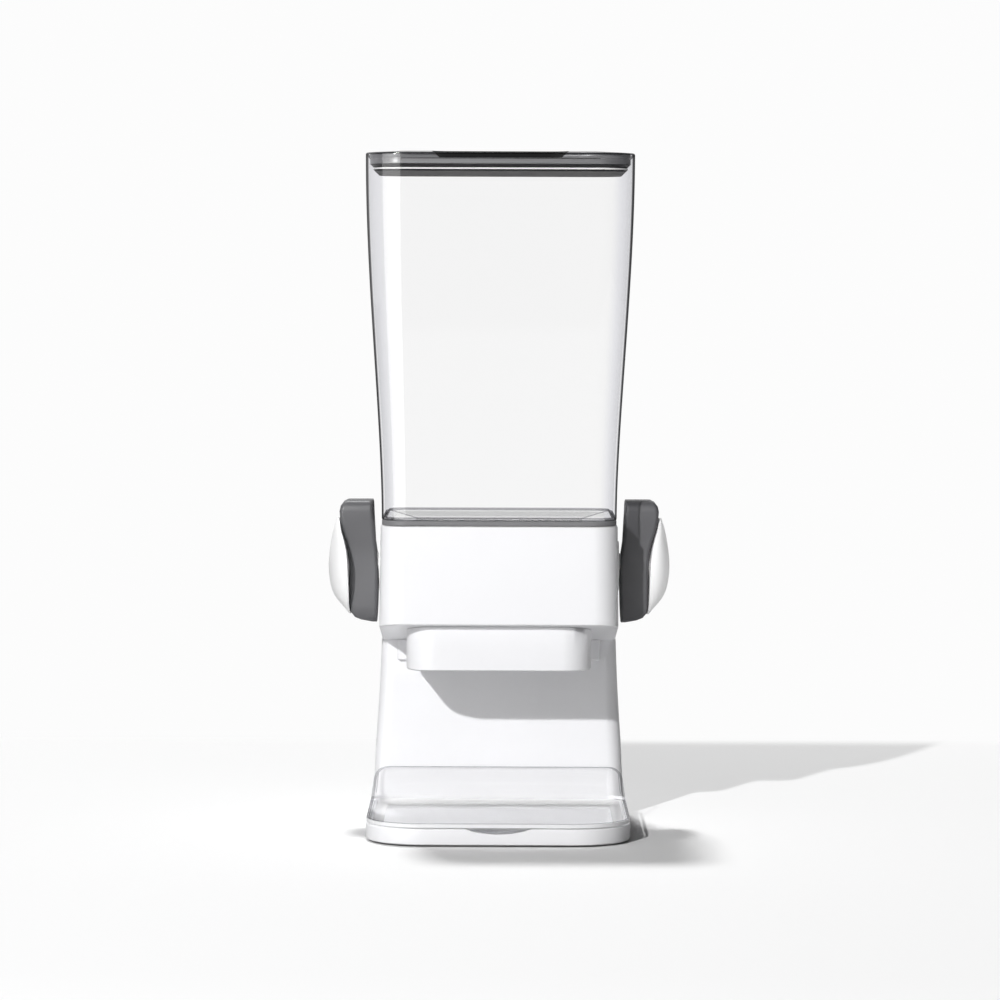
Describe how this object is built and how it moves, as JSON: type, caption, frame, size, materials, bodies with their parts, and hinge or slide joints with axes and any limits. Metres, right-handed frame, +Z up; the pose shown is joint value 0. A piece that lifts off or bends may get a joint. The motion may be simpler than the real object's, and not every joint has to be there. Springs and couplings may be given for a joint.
{
  "type": "cereal dispenser",
  "caption": "Countertop cereal dispenser: clear tapered bin and lid on a white stand, with a paddle wheel turned by a dial on either side, a spout and a clear crumb tray.",
  "frame": {"origin": "on the floor, in the middle of the dispenser's outer box", "axes": "+X to the right seen from the front and along the wheel's axle, +Y to the back, +Z up"},
  "size_m": [0.2272, 0.23, 0.4456],
  "materials": {
    "white_plastic": "white, satin gloss",
    "inner_white_plastic": "white, plain moulded",
    "dial_white": "white, smooth",
    "clear_plastic": "clear moulded plastic",
    "charcoal_plastic": "charcoal, satin",
    "grey_soft_grip": "grey soft touch",
    "grey_seal": "grey soft seal",
    "pale_silicone": "pale silicone",
    "foot_rubber": "grey rubber",
    "screw_steel": "plated",
    "shaft_steel": "bright drawn"
  },
  "bodies": {
    "stand_and_housing": {"stand": "white_plastic", "upper_housing": "white_plastic", "spout": "white_plastic", "chute_cover": "white_plastic", "base_plate": "inner_white_plastic", "funnel_insert": "inner_white_plastic", "wheel_chamber": "inner_white_plastic", "outlet_chute": "inner_white_plastic", "left_bushing": "inner_white_plastic", "right_bushing": "inner_white_plastic", "foot_front_left": "foot_rubber", "foot_front_right": "foot_rubber", "foot_rear_left": "foot_rubber", "foot_rear_right": "foot_rubber", "base_screw_front_left": "screw_steel", "base_screw_front_right": "screw_steel", "base_screw_rear_left": "screw_steel", "base_screw_rear_right": "screw_steel", "housing_screw_left": "screw_steel", "housing_screw_right": "screw_steel"},
    "dispensing_wheel": {"drive_shaft": "shaft_steel", "wheel_core": "inner_white_plastic", "paddle_wheel": "pale_silicone", "left_grip": "grey_soft_grip", "right_grip": "grey_soft_grip", "left_dial": "dial_white", "right_dial": "dial_white"},
    "bin": {"bin": "clear_plastic", "bin_seal": "grey_seal"},
    "lid": {"lid_cover": "charcoal_plastic", "lid_plug": "charcoal_plastic", "lid_gasket": "pale_silicone"},
    "tray": {"crumb_tray": "clear_plastic"}
  },
  "joints": [
    {"name": "wheel_turn", "type": "hinge", "parent": "stand_and_housing", "child": "dispensing_wheel", "pos_m": [0, 0.008, 0.172], "axis": [1, 0, 0], "continuous": true},
    {"name": "bin_lift", "type": "slide", "parent": "stand_and_housing", "child": "bin", "axis": [0, 0, 1], "range_m": [0, 0.06]},
    {"name": "lid_lift", "type": "slide", "parent": "bin", "child": "lid", "axis": [0, 0, 1], "range_m": [0, 0.05]},
    {"name": "tray_lift", "type": "slide", "parent": "stand_and_housing", "child": "tray", "axis": [0, 0, 1], "range_m": [0, 0.05]}
  ]
}
